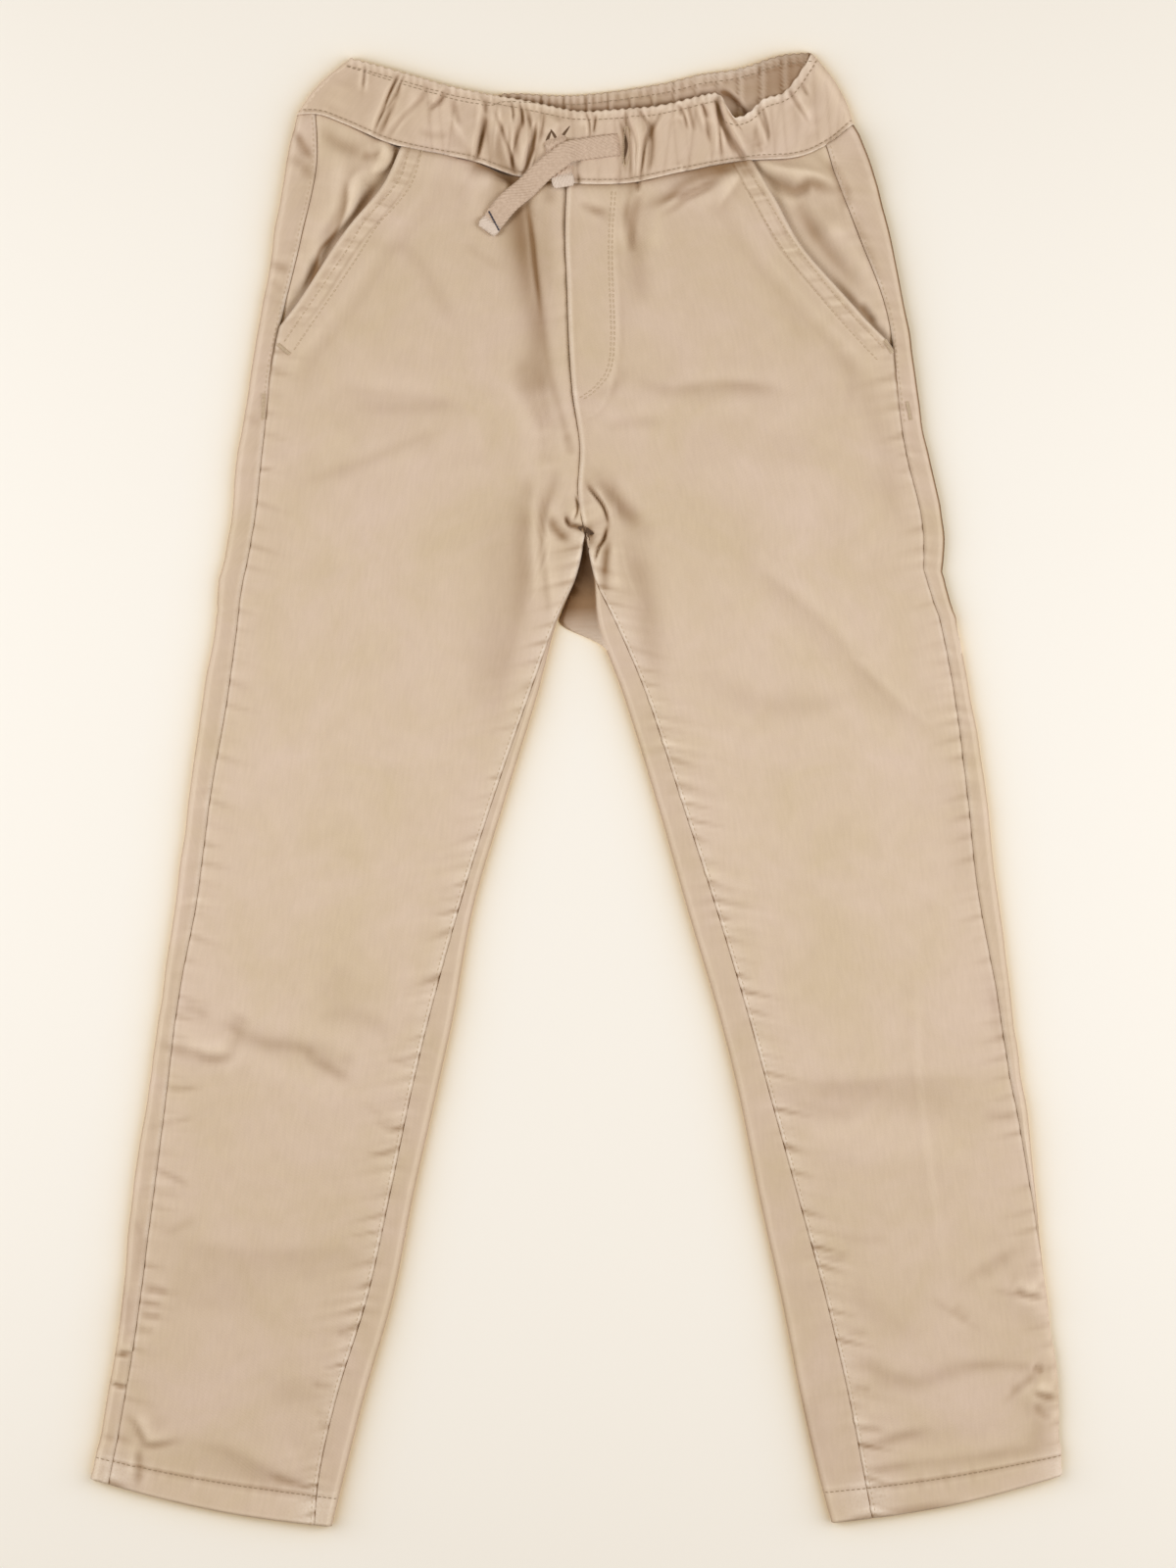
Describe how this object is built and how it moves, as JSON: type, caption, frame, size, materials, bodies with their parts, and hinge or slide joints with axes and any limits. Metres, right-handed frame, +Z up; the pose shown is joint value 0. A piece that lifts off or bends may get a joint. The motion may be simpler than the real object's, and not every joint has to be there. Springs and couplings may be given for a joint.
{
  "type": "children's pull-on trousers",
  "caption": "Child's pull-on cotton twill trousers laid flat, front up, with a gathered elastic waistband, drawcord, mock fly, slant pockets and tapered legs.",
  "frame": {"origin": "under the middle of the laid garment's box, on the surface that it lies on", "axes": "+Z up from the surface, +Y from the hems to the waist, +X to the wearer's left"},
  "size_m": [0.526, 0.796, 0.0103],
  "materials": {
    "twill": "matt washed stretch cotton twill, sand coloured",
    "drawcord": "matt flat woven cotton tape"
  },
  "bodies": {
    "root": {"front_right": "twill", "front_left": "twill", "back_right": "twill", "back_left": "twill", "pocket_right": "twill", "pocket_left": "twill", "fly_facing": "twill", "waistband": "twill", "drawcord_left_end": "drawcord", "drawcord_right_end": "drawcord"}
  },
  "joints": []
}
